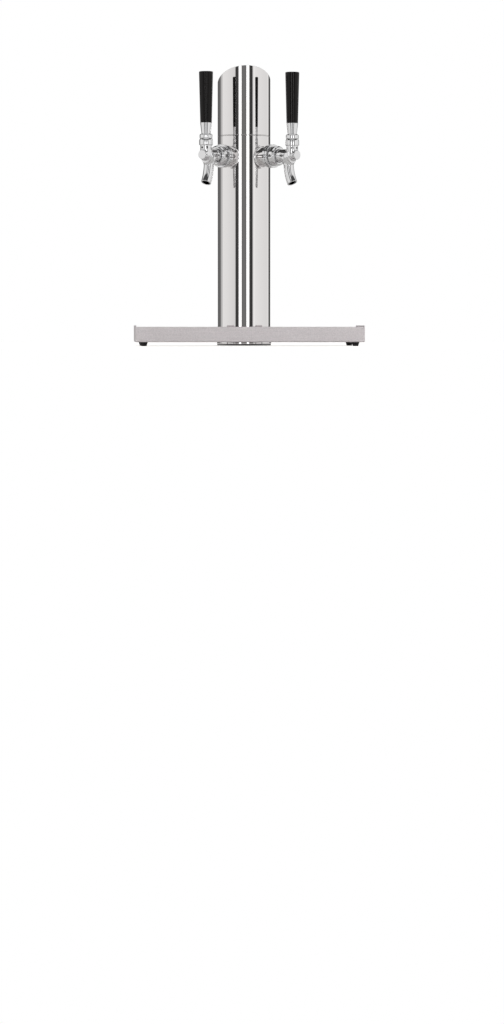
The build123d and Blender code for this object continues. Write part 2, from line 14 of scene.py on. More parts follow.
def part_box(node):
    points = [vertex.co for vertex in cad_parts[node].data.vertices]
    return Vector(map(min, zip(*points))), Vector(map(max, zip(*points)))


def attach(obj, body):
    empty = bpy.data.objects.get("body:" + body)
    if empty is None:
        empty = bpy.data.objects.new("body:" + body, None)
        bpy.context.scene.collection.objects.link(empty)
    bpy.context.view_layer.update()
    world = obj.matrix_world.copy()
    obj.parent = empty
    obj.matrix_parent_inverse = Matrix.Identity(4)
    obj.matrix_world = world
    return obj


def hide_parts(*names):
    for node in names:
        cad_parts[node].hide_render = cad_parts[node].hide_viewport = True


bl_info = {
    "name": "Beer Tap Tower",
    "version": (1, 0, 0),
    "blender": (4, 5, 0),
    "location": "3D View > Sidebar > Tower",
    "description": "Builds a polished beer column with two faucets and its drip tray",
    "category": "Object",
}

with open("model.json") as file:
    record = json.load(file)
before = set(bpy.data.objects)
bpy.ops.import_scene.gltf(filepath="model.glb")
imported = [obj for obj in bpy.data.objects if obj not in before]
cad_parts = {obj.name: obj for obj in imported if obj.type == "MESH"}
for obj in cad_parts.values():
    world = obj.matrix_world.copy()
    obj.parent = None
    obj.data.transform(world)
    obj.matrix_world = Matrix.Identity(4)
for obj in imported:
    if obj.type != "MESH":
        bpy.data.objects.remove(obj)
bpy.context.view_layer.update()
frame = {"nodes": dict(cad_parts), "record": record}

MM = 0.001
SIDES = {"left": -1, "right": 1}
TOWER_TURN = math.radians(2.8)


# ---------- Sizes taken from the parts ----------
def reach(node):
    """Half the width of a round node that stands on the column's axis."""
    low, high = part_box(node)
    return (high.x - low.x) / 2


COLUMN_RADIUS = reach("column_tube")
COLUMN_WALL = 1.5 * MM
COLUMN_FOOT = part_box("column_tube")[0].z
COLUMN_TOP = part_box("column_tube")[1].z
CAP_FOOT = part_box("cap_tube")[0].z
CAP_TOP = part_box("cap_lid")[1].z
CAP_SLANT = math.radians(30)
LID_THICKNESS = 1.5 * MM
TAP_HEIGHT = 270 * MM
TAP_SPREAD = math.radians(40)
LEVER_REACH = 95.5 * MM
SHANK_CLEARANCE = 11.4 * MM


def linear(code):
    """An sRGB hex code as linear light."""
    parts = [int(code[i : i + 2], 16) / 255 for i in (1, 3, 5)]
    return tuple(p / 12.92 if p <= 0.04045 else ((p + 0.055) / 1.055) ** 2.4 for p in parts)


# ---------- Settings ----------
class ColumnSettings(bpy.types.PropertyGroup):
    steel_colour: FloatVectorProperty(
        name="Steel colour", description="Tint of the polished steel", subtype="COLOR", default=linear("#DEDCDC")
    )
    rim_rounding: FloatProperty(
        name="Rim rounding", description="Radius left by the buff on the lid's rim", default=0.9 * MM, unit="LENGTH"
    )
    weld_flare: FloatProperty(
        name="Weld flare", description="Width of the polished weld where a stub meets the column",
        default=2.6 * MM, unit="LENGTH",
    )


class TapSettings(bpy.types.PropertyGroup):
    chrome_colour: FloatVectorProperty(
        name="Chrome colour", description="Tint of the chrome plate", subtype="COLOR", default=linear("#DCDCDD")
    )
    grip_colour: FloatVectorProperty(
        name="Grip colour", description="Colour of the moulded handles", subtype="COLOR", default=linear("#0C0808")
    )
    throat_fillet: FloatProperty(
        name="Throat fillet", description="Radius of the casting between the neck and the spout",
        default=6.5 * MM, unit="LENGTH",
    )
    casting_fillet: FloatProperty(
        name="Casting fillet", description="Radius between the barrel and its neighbours", default=1.6 * MM,
        unit="LENGTH",
    )
    casting_grid: FloatProperty(
        name="Casting grid", description="Spacing of the points on the casting's surface", default=0.42 * MM,
        unit="LENGTH",
    )


class TraySettings(bpy.types.PropertyGroup):
    satin_colour: FloatVectorProperty(
        name="Satin colour", description="Tint of the brushed tray", subtype="COLOR", default=linear("#E8E2E4")
    )
    slot_length: FloatProperty(
        name="Slot length", description="Length of one drain slot", default=30 * MM, unit="LENGTH"
    )
    slot_width: FloatProperty(name="Slot width", description="Width of one drain slot", default=4 * MM, unit="LENGTH")
    slot_columns: IntProperty(name="Slot columns", description="Slots along the tray", default=28)
    slot_rows: IntProperty(name="Slot rows", description="Rows of slots from front to back", default=3)


class StageSettings(bpy.types.PropertyGroup):
    floor_colour: FloatVectorProperty(
        name="Floor colour", description="Colour of the counter", subtype="COLOR", default=linear("#F6F5F3")
    )
    camera_turn: FloatProperty(
        name="Camera turn", description="How far the camera stands to the left of the front",
        default=math.radians(3), subtype="ANGLE",
    )
    camera_distance: FloatProperty(
        name="Camera distance", description="From the column to the camera", default=4.5, unit="LENGTH"
    )
    camera_height: FloatProperty(
        name="Camera height", description="Height of the lens above the counter", default=32 * MM, unit="LENGTH"
    )


# ---------- Materials ----------
def add_node(tree, kind, settings=None, **sockets):
    """Add a node with its settings, and fill or link its sockets. In a socket's name an underscore stands for a
    space, and i0, i1 and i2 stand for sockets by their number."""
    node = tree.nodes.new(kind)
    for key, value in (settings or {}).items():
        setattr(node, key, value)
    for key, value in sockets.items():
        numbered = key[0] == "i" and key[1:].isdigit()
        socket = node.inputs[int(key[1:]) if numbered else key.replace("_", " ")]
        if isinstance(value, bpy.types.NodeSocket):
            tree.links.new(value, socket)
        else:
            socket.default_value = value
    return node


def new_material(name, **sockets):
    """A material with only its Principled shader, and its tree."""
    material = bpy.data.materials.new(name)
    material.use_nodes = True
    tree = material.node_tree
    shader = tree.nodes["Principled BSDF"]
    for key, value in sockets.items():
        shader.inputs[key.replace("_", " ")].default_value = value
    return material, tree, shader


def pattern(tree, stretch, detail=3.0, roughness=0.55):
    """Noise on Object coordinates whose grains are 1/stretch metres long on each axis."""
    coords = add_node(tree, "ShaderNodeTexCoord")
    mapping = add_node(tree, "ShaderNodeMapping", Vector=coords.outputs["Object"], Scale=stretch)
    noise = add_node(
        tree, "ShaderNodeTexNoise", Vector=mapping.outputs["Vector"], Scale=1.0, Detail=detail, Roughness=roughness
    )
    return noise.outputs["Fac"]


def spread(tree, value, low, high, start=0.3, end=0.7):
    """A pattern's value turned to a range of roughness or height."""
    node = add_node(
        tree, "ShaderNodeMapRange", {"interpolation_type": "SMOOTHSTEP"},
        Value=value, From_Min=start, From_Max=end, To_Min=low, To_Max=high,
    )
    return node.outputs["Result"]


def relief(tree, shader, height, distance, strength=1.0):
    """Small relief on the shader from a height pattern; distance is its full depth in metres."""
    bump = add_node(tree, "ShaderNodeBump", Height=height, Distance=distance, Strength=strength)
    tree.links.new(bump.outputs["Normal"], shader.inputs["Normal"])


def work_out(tree, operation, *values):
    """The result of one operation on numbers or sockets."""
    numbered = {f"i{n}": value for n, value in enumerate(values)}
    return add_node(tree, "ShaderNodeMath", {"operation": operation}, **numbered).outputs[0]


def window(tree, value, low, high, soft):
    """1 between two limits, falling off softly past them."""
    rise = spread(tree, value, 0.0, 1.0, low - soft, low + soft)
    fall = spread(tree, value, 1.0, 0.0, high - soft, high + soft)
    return work_out(tree, "MULTIPLY", rise, fall)


def blend(tree, share, first, second, kind="MIX"):
    """Two colours mixed by a share."""
    settings = {"data_type": "RGBA", "blend_type": kind}
    return add_node(tree, "ShaderNodeMix", settings, Factor=share, A=first, B=second).outputs["Result"]


def two_tones(tree, shader, share, dark, light):
    """A base colour that wanders between two colours."""
    tree.links.new(blend(tree, share, (*dark, 1), (*light, 1)), shader.inputs["Base Color"])


def worn(tree, shader, value, dark, light, smooth, rough, start=0.3, end=0.7):
    """A base colour and a roughness that wander together with a pattern."""
    two_tones(tree, shader, spread(tree, value, 0, 1, start, end), dark, light)
    tree.links.new(spread(tree, value, smooth, rough, start, end), shader.inputs["Roughness"])


def polished_stainless():
    """Type 304 stainless tube, buffed to a mirror along its length: straight reflections with faint draw lines
    and a little wiping haze."""
    colour = bpy.context.scene.tower_column.steel_colour
    material, tree, shader = new_material("polished_stainless", Base_Color=(*colour, 1), Metallic=1.0)
    haze = pattern(tree, (9, 9, 14), detail=4)
    tree.links.new(spread(tree, haze, 0.02, 0.05), shader.inputs["Roughness"])
    draw_lines = pattern(tree, (1 / (1.6 * MM), 1 / (1.6 * MM), 7), detail=2)
    relief(tree, shader, draw_lines, 0.0004 * MM)
    return material


def chrome_plate():
    """Chrome plated brass casting: colder and sharper than the steel, with the slight waves of hand buffing."""
    colour = bpy.context.scene.tower_tap.chrome_colour
    material, tree, shader = new_material("chrome_plate", Base_Color=(*colour, 1), Metallic=1.0)
    haze = pattern(tree, (60, 60, 60), detail=4)
    tree.links.new(spread(tree, haze, 0.02, 0.05), shader.inputs["Roughness"])
    waves = pattern(tree, (1 / (7 * MM),) * 3, detail=1)
    relief(tree, shader, waves, 0.02 * MM)
    return material


def satin_stainless():
    """Stainless sheet with a number 4 finish, belt-brushed along the tray: soft, slightly grainy reflections."""
    colour = bpy.context.scene.tower_tray.satin_colour
    material, tree, shader = new_material("satin_stainless", Metallic=1.0)
    lines = pattern(tree, (22, 1 / (0.45 * MM), 1 / (0.45 * MM)), detail=5, roughness=0.7)
    grain = pattern(tree, (1 / (1.1 * MM),) * 3, detail=2)
    half = work_out(tree, "MULTIPLY", work_out(tree, "ADD", lines, grain), 0.5)
    dark, light = [c * 0.86 for c in colour], [min(1, c * 1.1) for c in colour]
    worn(tree, shader, half, dark, light, 0.32, 0.46)
    relief(tree, shader, half, 0.02 * MM)
    return material


def black_phenolic():
    """Compression-moulded phenolic, buffed to a deep gloss: black with a warm cast and fine wiping marks."""
    colour = bpy.context.scene.tower_tap.grip_colour
    material, tree, shader = new_material("black_phenolic", IOR=1.45, Specular_IOR_Level=0.22)
    depth = pattern(tree, (180, 180, 30), detail=4)
    worn(tree, shader, depth, [c * 0.6 for c in colour], [c * 1.35 for c in colour], 0.05, 0.1)
    waves = pattern(tree, (1 / (9 * MM), 1 / (9 * MM), 1 / (30 * MM)), detail=1)
    relief(tree, shader, waves, 0.008 * MM)
    return material


def black_rubber():
    """Moulded nitrile rubber: near-black, matt, with the mould's fine blasted grain and a little dust."""
    material, tree, shader = new_material("black_rubber", IOR=1.5, Sheen_Weight=0.1)
    dust = pattern(tree, (250, 250, 250), detail=4)
    two_tones(tree, shader, spread(tree, dust, 0, 1, 0.4, 0.8), linear("#161515"), linear("#2C2A29"))
    tree.links.new(spread(tree, dust, 0.55, 0.75), shader.inputs["Roughness"])
    relief(tree, shader, pattern(tree, (1 / (0.6 * MM),) * 3, detail=2), 0.05 * MM)
    return material


def white_nylon():
    """Turned nylon: warm white, waxy, with faint tool rings."""
    material, tree, shader = new_material("white_nylon", IOR=1.53, Subsurface_Weight=0.1, Subsurface_Scale=1 * MM)
    mottle = pattern(tree, (300, 300, 300), detail=3)
    worn(tree, shader, mottle, linear("#DAD5C8"), linear("#EAE6DC"), 0.38, 0.52)
    relief(tree, shader, mottle, 0.02 * MM)
    return material


def turned_brass():
    """Free-cutting brass, turned and left bare: yellow metal with tool lines and patches of tarnish."""
    material, tree, shader = new_material("turned_brass", Metallic=1.0)
    tarnish = pattern(tree, (120, 120, 120), detail=4)
    worn(tree, shader, tarnish, linear("#B08A46"), linear("#D8B56C"), 0.2, 0.36)
    relief(tree, shader, pattern(tree, (1 / (0.5 * MM),) * 3, detail=1), 0.01 * MM)
    return material


def closed_cell_foam():
    """Extruded closed-cell foam: dark grey, dry, with a skin of small pores."""
    material, tree, shader = new_material("closed_cell_foam", IOR=1.45)
    coords = add_node(tree, "ShaderNodeTexCoord")
    cells = add_node(tree, "ShaderNodeTexVoronoi", Vector=coords.outputs["Object"], Scale=1 / (1.4 * MM))
    depth = cells.outputs["Distance"]
    # The pits of the pores are painted darker than the cell walls round them: painted shade where the same pattern
    # dents the surface.
    worn(tree, shader, depth, linear("#2E2F32"), linear("#46484B"), 0.75, 0.95, 0.1, 0.7)
    relief(tree, shader, depth, 0.15 * MM)
    return material


FINISHES = {
    "mirror_steel": polished_stainless,
    "chrome": chrome_plate,
    "satin_steel": satin_stainless,
    "black_gloss": black_phenolic,
    "rubber": black_rubber,
    "nylon": white_nylon,
    "brass": turned_brass,
    "foam": closed_cell_foam,
}
_made = {}


def finish_for(slot):
    """The material of one of the record's slots, made once."""
    if slot not in _made:
        _made[slot] = FINISHES[slot]()
    return _made[slot]


# ---------- Shapes ----------
def rounded(corners, steps=5):
    """A closed outline from (x, y) or (x, y, rounding) corners, each rounded corner an arc of a few steps."""
    outline = []
    for i, corner in enumerate(corners):
        here = np.array(corner[:2], float)
        size = corner[2] if len(corner) > 2 else 0
        if not size:
            outline.append(here)
            continue
        before = np.array(corners[i - 1][:2], float) - here
        after = np.array(corners[(i + 1) % len(corners)][:2], float) - here
        before /= np.linalg.norm(before)
        after /= np.linalg.norm(after)
        half = math.acos(np.clip(before @ after, -1, 1)) / 2
        bisector = (before + after) / np.linalg.norm(before + after)
        centre = here + bisector * size / math.sin(half)
        first = here + before * size / math.tan(half) - centre
        last = here + after * size / math.tan(half) - centre
        sweep = math.pi - 2 * half
        for step in range(steps + 1):
            t = step / steps
            mixed = (first * math.sin((1 - t) * sweep) + last * math.sin(t * sweep)) / math.sin(sweep)
            outline.append(centre + mixed)
    return outline


def turned(outline, steps=144):
    """A closed outline of (radius, height) points spun about Z."""
    verts, faces, rings = [], [], []
    for radius, height in outline:
        if radius < 1e-7:
            rings.append([len(verts)] * steps)
            verts.append((0, 0, height))
            continue
        rings.append(list(range(len(verts), len(verts) + steps)))
        for step in range(steps):
            angle = 2 * math.pi * step / steps
            verts.append((radius * math.cos(angle), radius * math.sin(angle), height))
    for i, ring in enumerate(rings):
        following = rings[(i + 1) % len(rings)]
        if ring[0] == ring[1] and following[0] == following[1]:
            continue
        for step in range(steps):
            beside = (step + 1) % steps
            face = (ring[step], ring[beside], following[beside], following[step])
            faces.append(tuple(dict.fromkeys(face)))
    return verts, faces


def between(first, second, size):
    """Faces between two closed rings of points, given by the number of each ring's first point."""
    return [(first + i, first + (i + 1) % size, second + (i + 1) % size, second + i) for i in range(size)]


def curve(first, corner, last, steps):
    """Points along a smooth corner, from one end to the other."""
    return [tuple((1 - t) ** 2 * first + 2 * t * (1 - t) * corner + t * t * last) for t in np.linspace(0, 1, steps)]


def raw_piece(name, verts, faces):
    """An object from plain vertices and faces, its faces pointing outwards."""
    mesh = bpy.data.meshes.new(name)
    mesh.from_pydata([tuple(v) for v in verts], [], faces)
    work = bmesh.new()
    work.from_mesh(mesh)
    bmesh.ops.recalc_face_normals(work, faces=work.faces)
    work.to_mesh(mesh)
    work.free()
    piece = bpy.data.objects.new(name, mesh)
    bpy.context.scene.collection.objects.link(piece)
    return piece


def settle(piece):
    """Turn the piece's live modifiers into plain mesh."""
    graph = bpy.context.evaluated_depsgraph_get()
    mesh = bpy.data.meshes.new_from_object(piece.evaluated_get(graph), preserve_all_data_layers=True, depsgraph=graph)
    piece.modifiers.clear()
    piece.data = mesh


def carve(piece, *cutters):
    """Take the cutters' solids out of the piece."""
    for cutter in cutters:
        modifier = piece.modifiers.new("carve", "BOOLEAN")
        modifier.operation = "DIFFERENCE"
        modifier.solver = "EXACT"
        modifier.object = cutter
    settle(piece)
    for cutter in cutters:
        bpy.data.objects.remove(cutter)


def put(piece, place):
    """Put the piece's place in its vertices."""
    piece.data.transform(place)
    piece.data.update()


def complete(piece, slot, body, *nodes, sharp=35, shade=True):
    """Shade a finished piece, give it its material, tie it to its body, and hide the CAD nodes it stands for."""
    if shade:
        piece.data.shade_smooth()
        piece.data.set_sharp_from_angle(angle=math.radians(sharp))
        even = piece.modifiers.new("even", "WEIGHTED_NORMAL")
        even.keep_sharp = True
        settle(piece)
    piece.data.materials.clear()
    piece.data.materials.append(finish_for(slot))
    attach(piece, body)
    if nodes:
        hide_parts(*nodes)
    return piece


def tap_turn(side):
    """The turn that brings a tap built facing the front round to its own side."""
    return Matrix.Rotation(TOWER_TURN + SIDES[side] * TAP_SPREAD, 4, "Z")


def tap_axis(side, distance=0.0):
    """Where a piece turned about Z stands when it points out along a tap, this far from the column's centre."""
    turn = tap_turn(side)
    lie = Matrix.Rotation(math.pi / 2, 4, "X")
    return turn @ Matrix.Translation((0, -distance, TAP_HEIGHT)) @ lie


def lever_axis(side, height=0.0):
    """Where a piece turned about Z stands on a lever's axis, this far above the tap's axis."""
    turn = tap_turn(side)
    return turn @ Matrix.Translation((0, -LEVER_REACH, TAP_HEIGHT + height))


def in_mm(corners):
    """Corners written in millimetres, as metres."""
    return [tuple(value * MM for value in corner) for corner in corners]


def rod(name, radius, low, high, steps=48):
    """A plain round cutter along Z."""
    return raw_piece(name, *turned([(0, low), (radius, low), (radius, high), (0, high)], steps))


def turned_piece(name, outline, steps, place, slot, body, node, sharp=35):
    """A piece spun about Z, put in its place and finished."""
    piece = raw_piece(name, *turned(outline, steps))
    put(piece, place)
    complete(piece, slot, body, node, sharp=sharp)


def new_tree(name, **inputs):
    """A geometry tree with these inputs between Geometry and Material, and the sockets that give them."""
    tree = bpy.data.node_groups.new(name, "GeometryNodeTree")
    for label, kind in {"Geometry": "Geometry", **inputs, "Material": "Material"}.items():
        tree.interface.new_socket(label.replace("_", " "), in_out="INPUT", socket_type=f"NodeSocket{kind}")
    tree.interface.new_socket("Geometry", in_out="OUTPUT", socket_type="NodeSocketGeometry")
    return tree, tree.nodes.new("NodeGroupInput").outputs


def holed(tree, solid, holes):
    """A tree's solid with its holes taken out."""
    settings = {"operation": "DIFFERENCE", "solver": "EXACT"}
    return add_node(tree, "GeometryNodeMeshBoolean", settings, Mesh_1=solid, Mesh_2=holes).outputs["Mesh"]


def end_tree(tree, geometry, material):
    """End a tree in real geometry with its material."""
    whole = add_node(tree, "GeometryNodeRealizeInstances", Geometry=geometry)
    dressed = add_node(tree, "GeometryNodeSetMaterial", Geometry=whole.outputs["Geometry"], Material=material)
    out = tree.nodes.new("NodeGroupOutput")
    tree.links.new(dressed.outputs["Geometry"], out.inputs["Geometry"])


def ring_tree():
    """Geometry nodes that take holes out of a piece, evenly round its axis."""
    tree, given = new_tree(
        "holes_round_axis", Cutter="Object", Count="Int", Circle_radius="Float", First_angle="Float"
    )
    circle = add_node(tree, "GeometryNodeMeshCircle", Vertices=given["Count"], Radius=given["Circle radius"])
    turn = add_node(tree, "ShaderNodeCombineXYZ", Z=given["First angle"])
    turned_circle = add_node(
        tree, "GeometryNodeTransform", Geometry=circle.outputs["Mesh"], Rotation=turn.outputs["Vector"]
    )
    place = add_node(tree, "GeometryNodeInputPosition")
    aim = add_node(tree, "FunctionNodeAlignRotationToVector", {"axis": "X"}, Vector=place.outputs["Position"])
    cutter = add_node(tree, "GeometryNodeObjectInfo", Object=given["Cutter"])
    copies = add_node(
        tree, "GeometryNodeInstanceOnPoints", Points=turned_circle.outputs["Geometry"],
        Instance=cutter.outputs["Geometry"], Rotation=aim.outputs["Rotation"],
    )
    real = add_node(tree, "GeometryNodeRealizeInstances", Geometry=copies.outputs["Instances"])
    end_tree(tree, holed(tree, given["Geometry"], real.outputs["Geometry"]), given["Material"])
    return tree


def grid_tree():
    """Geometry nodes that set copies of a shape on a grid, and either keep them or take them out of the piece."""
    tree, given = new_tree(
        "shapes_on_grid", Shape="Object", Columns="Int", Rows="Int", Width="Float", Depth="Float", Centre="Vector",
        Cut_out="Bool",
    )
    grid = add_node(
        tree, "GeometryNodeMeshGrid", Size_X=given["Width"], Size_Y=given["Depth"],
        Vertices_X=given["Columns"], Vertices_Y=given["Rows"],
    )
    moved = add_node(
        tree, "GeometryNodeTransform", Geometry=grid.outputs["Mesh"], Translation=given["Centre"]
    )
    shape = add_node(tree, "GeometryNodeObjectInfo", Object=given["Shape"])
    copies = add_node(
        tree, "GeometryNodeInstanceOnPoints", Points=moved.outputs["Geometry"], Instance=shape.outputs["Geometry"]
    )
    real = add_node(tree, "GeometryNodeRealizeInstances", Geometry=copies.outputs["Instances"])
    choice = add_node(tree, "GeometryNodeSwitch", {"input_type": "GEOMETRY"}, Switch=given["Cut out"])
    tree.links.new(real.outputs["Geometry"], choice.inputs["False"])
    tree.links.new(holed(tree, given["Geometry"], real.outputs["Geometry"]), choice.inputs["True"])
    end_tree(tree, choice.outputs["Output"], given["Material"])
    return tree


def run_tree(piece, tree, **values):
    """Run a geometry node tree on the piece with these inputs, and keep the result as plain mesh."""
    modifier = piece.modifiers.new(tree.name, "NODES")
    modifier.node_group = tree
    for item in tree.interface.items_tree:
        if item.item_type == "SOCKET" and item.in_out == "INPUT":
            key = item.name.lower().replace(" ", "_")
            if key in values:
                modifier[item.identifier] = values.pop(key)
    if values:
        raise RuntimeError(f"{tree.name} has no inputs {sorted(values)}")
    settle(piece)


# ---------- Blended casting ----------
def tube_field(across_a, across_b, along, radius, low, high, easing=0.0):
    """Distance to a round bar between two ends, its end edges eased."""
    side = np.hypot(across_a, across_b) - radius
    ends = np.maximum(low - along, along - high)
    if not easing:
        return np.maximum(side, ends)
    return meet(side, ends, easing)


def join(a, b, fillet):
    """Union of two distance fields with a round fillet."""
    away_a, away_b = np.maximum(fillet - a, 0), np.maximum(fillet - b, 0)
    return np.maximum(fillet, np.minimum(a, b)) - np.hypot(away_a, away_b)


def meet(a, b, easing):
    """Intersection of two distance fields with a rounded edge."""
    over_a, over_b = np.maximum(easing + a, 0), np.maximum(easing + b, 0)
    return np.minimum(-easing, np.maximum(a, b)) + np.hypot(over_a, over_b)


def surface_net(field, low, high, step):
    """Quads over the zero surface of a distance field: one point for each grid cell the surface crosses."""
    axes = [np.arange(a, b + step, step) for a, b in zip(low, high)]
    inside = field(*np.meshgrid(*axes, indexing="ij")) < 0
    count = np.zeros([n - 1 for n in inside.shape], int)
    for corner in np.ndindex(2, 2, 2):
        count += inside[tuple(slice(c, n - 1 + c) for c, n in zip(corner, inside.shape))]
    crossed = (count > 0) & (count < 8)
    number = np.full(count.shape, -1)
    number[crossed] = np.arange(crossed.sum())
    points = np.array(low) + (np.argwhere(crossed) + 0.5) * step
    for _ in range(6):
        slope = gradient(field, points, step * 0.02)
        move = field(*points.T)[:, None] * slope / np.maximum((slope**2).sum(1), 0.25)[:, None]
        points -= np.clip(move, -step, step)
    quads = []
    for axis in range(3):
        others = [a for a in range(3) if a != axis]
        first = np.take(inside, range(inside.shape[axis] - 1), axis)
        second = np.take(inside, range(1, inside.shape[axis]), axis)
        for leaving in (True, False):
            edges = np.argwhere((first & ~second) if leaving else (~first & second))
            keep = (edges[:, others[0]] > 0) & (edges[:, others[1]] > 0)
            edges = edges[keep]
            ring = []
            for back in ((0, 0), (1, 0), (1, 1), (0, 1)):
                cell = edges.copy()
                cell[:, others[0]] -= back[0]
                cell[:, others[1]] -= back[1]
                ring.append(number[tuple(cell.T)])
            quads.append(np.stack(ring if leaving == (axis != 1) else ring[::-1], 1))
    normals = gradient(field, points, step * 0.02)
    normals /= np.linalg.norm(normals, axis=1)[:, None]
    return points, np.concatenate(quads), normals


def gradient(field, points, small):
    """Which way, and how steeply, a distance field rises at some points."""
    slope = np.empty_like(points)
    for axis in range(3):
        shift = np.zeros(3)
        shift[axis] = small
        slope[:, axis] = (field(*(points + shift).T) - field(*(points - shift).T)) / (2 * small)
    return slope


def casting_field(out, side, up):
    """Distance in millimetres to the faucet's casting: out along the tap, side across it, up."""
    taps = bpy.context.scene.tower_tap
    throat, fillet = taps.throat_fillet / MM, taps.casting_fillet / MM
    lever = LEVER_REACH / MM
    from_lever = out - lever
    back, neck_radius, rim_radius, rim_front = 64.6, 9.4, 11.8, 67.8
    spout_line, knee, bend, spout_radius, spout_bore = 88.3, -8.26, 68.81, 7.2, 5.6
    tip_out, tip_up, lean, tip_easing = 95.8, -39.5, math.radians(27), 0.35
    barrel_radius, barrel_top, bonnet_seat_radius, bonnet_seat_top = 8.2, 13.2, 8.3, 19.5
    boss_radius, boss_front, boss_easing, boss_fillet = 6.6, 105.5, 0.7, 0.8
    vent_radius, vent_height, edge = 1.5, 10, 0.3
    neck = tube_field(side, up, out, neck_radius, back, lever)
    straight = np.abs(out - spout_line)
    curved = np.abs(np.hypot(out - spout_line - bend, up - knee) - bend)
    from_line = np.hypot(np.where(up > knee, straight, curved), side)
    past_tip = (out - tip_out) * math.sin(lean) - (up - tip_up) * math.cos(lean)
    spout = np.maximum(meet(from_line - spout_radius, past_tip, tip_easing), up)
    barrel = np.minimum(
        tube_field(from_lever, side, up, barrel_radius, 0, barrel_top),
        np.sqrt(from_lever**2 + side**2 + up**2) - barrel_radius,
    )
    boss = tube_field(side, up, out, boss_radius, lever, boss_front, boss_easing)
    body = join(join(neck, spout, throat), barrel, fillet)
    body = join(body, boss, boss_fillet)
    body = np.minimum(body, tube_field(from_lever, side, up, bonnet_seat_radius, barrel_top, bonnet_seat_top))
    body = np.minimum(body, tube_field(side, up, out, rim_radius, back, rim_front))
    # In order: the recess at the back, the valve's bore, the spout's bore, two bores under the bonnet, the arm's slot.
    hollows = [
        tube_field(side, up, out, 7.5, 60, 72),
        tube_field(side, up, out, 4.5, 70, 103.5),
        np.maximum(from_line - spout_bore, up),
        tube_field(from_lever, side, up, 6.3, 12.99, 25),
        tube_field(from_lever, side, up, 5.3, 11.2, 25),
        arm_slot(from_lever, side, up),
    ]
    for bearing in (-45, 9):
        angle = math.radians(bearing)
        along = from_lever * math.cos(angle) + side * math.sin(angle)
        beside = side * math.cos(angle) - from_lever * math.sin(angle)
        hollows.append(tube_field(beside, up - vent_height, along, vent_radius, 0, 20))
    for hollow in hollows:
        body = meet(body, -hollow, edge)
    return body


def arm_slot(out, side, up):
    """Distance to the slot that the lever's arm swings in."""
    corners = [(3.4, 13.99), (3.4, 0.0), (-11.16, 2.0), (-5.1, 13.99)]
    half_width = 3.0
    wall = np.abs(side) - half_width
    for (ax, ay), (bx, by) in zip(corners, corners[1:] + corners[:1]):
        length = math.hypot(bx - ax, by - ay)
        wall = np.maximum(wall, ((out - ax) * (ay - by) + (up - ay) * (bx - ax)) / length)
    return wall


# ---------- Operators ----------
class BuildColumn(bpy.types.Operator):
    """Build the column, its foot ring and the two welded stubs"""

    bl_idname = "tower.build_column"
    bl_label = "Build Column"

    def execute(self, context):
        settings = context.scene.tower_column
        inner = COLUMN_RADIUS - COLUMN_WALL
        stub_zone = 17 * MM
        edge = 0.6 * MM
        outline = rounded(
            [(inner, COLUMN_FOOT), (COLUMN_RADIUS, COLUMN_FOOT, edge), (COLUMN_RADIUS, COLUMN_TOP, edge),
             (inner, COLUMN_TOP, edge)], 3,
        )
        levels = []
        for point in outline:
            if levels and point[1] - levels[-1][1] > 0.2:
                zone = np.linspace(TAP_HEIGHT - stub_zone, TAP_HEIGHT + stub_zone, 12)
                levels += [(COLUMN_RADIUS, height) for height in zone]
            levels.append(tuple(point))
        column = raw_piece("column", *turned(levels, 288))
        cutters = []
        for side in SIDES:
            cutter = rod("cutter", SHANK_CLEARANCE, 0, 2 * COLUMN_RADIUS)
            put(cutter, tap_axis(side))
            cutters.append(cutter)
        carve(column, *cutters)
        complete(column, "mirror_steel", "tower", "column_tube")
        for side in SIDES:
            make_stub(side, settings.weld_flare)
        make_foot()
        return {"FINISHED"}


def column_face(sideways):
    """How far out the column's face stands, this far to the side of its middle."""
    return math.sqrt(COLUMN_RADIUS**2 - sideways**2)


def make_stub(side, flare):
    """The stub's ring of sections, each from its own height on the round column."""
    radius, end, edge, steps = 13.5 * MM, 51 * MM, 0.35 * MM, 160
    verts, faces = [], []
    for step in range(steps):
        angle = 2 * math.pi * step / steps
        across, up = math.cos(angle), math.sin(angle)
        foot = np.array([radius + flare, column_face((radius + flare) * across)])
        corner = np.array([radius, column_face(radius * across)])
        wall = np.array([radius, column_face(radius * across) + flare])
        section = [(SHANK_CLEARANCE, column_face(SHANK_CLEARANCE * across)), *curve(foot, corner, wall, 9)]
        section += [(radius, end - edge), (radius - edge * 0.3, end - edge * 0.3), (radius - edge, end)]
        section.append((SHANK_CLEARANCE, end))
        verts += [(distance * across, -out, TAP_HEIGHT + distance * up) for distance, out in section]
    size = len(section)
    for step in range(steps):
        faces += between(step * size, (step + 1) % steps * size, size)
    piece = raw_piece(f"{side}_stub", verts, faces)
    put(piece, tap_turn(side))
    complete(piece, "mirror_steel", "tower", f"{side}_tap_stub")


def make_foot():
    """The foot ring, with its four bolt holes."""
    outer = reach("foot_ring")
    spigot = COLUMN_RADIUS - COLUMN_WALL - 0.1 * MM
    base, top = (corner.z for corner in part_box("foot_ring"))
    bore, bolt_hole, bolt_circle, past = 23 * MM, 2.5 * MM, 29.75 * MM, 1 * MM
    outline = rounded(
        [(bore, base, 0.4 * MM), (outer, base, 0.3 * MM), (outer, COLUMN_FOOT, 0.6 * MM),
         (spigot, COLUMN_FOOT), (spigot, top, 0.5 * MM), (bore, top, 0.5 * MM)], 4,
    )
    ring = raw_piece("foot", *turned(outline, 192))
    cutter = rod("cutter", bolt_hole, base - past, top + past)
    run_tree(
        ring, ring_tree(), cutter=cutter, count=4, circle_radius=bolt_circle, first_angle=math.pi / 4,
        material=finish_for("mirror_steel"),
    )
    bpy.data.objects.remove(cutter)
    complete(ring, "mirror_steel", "tower", "foot_ring")


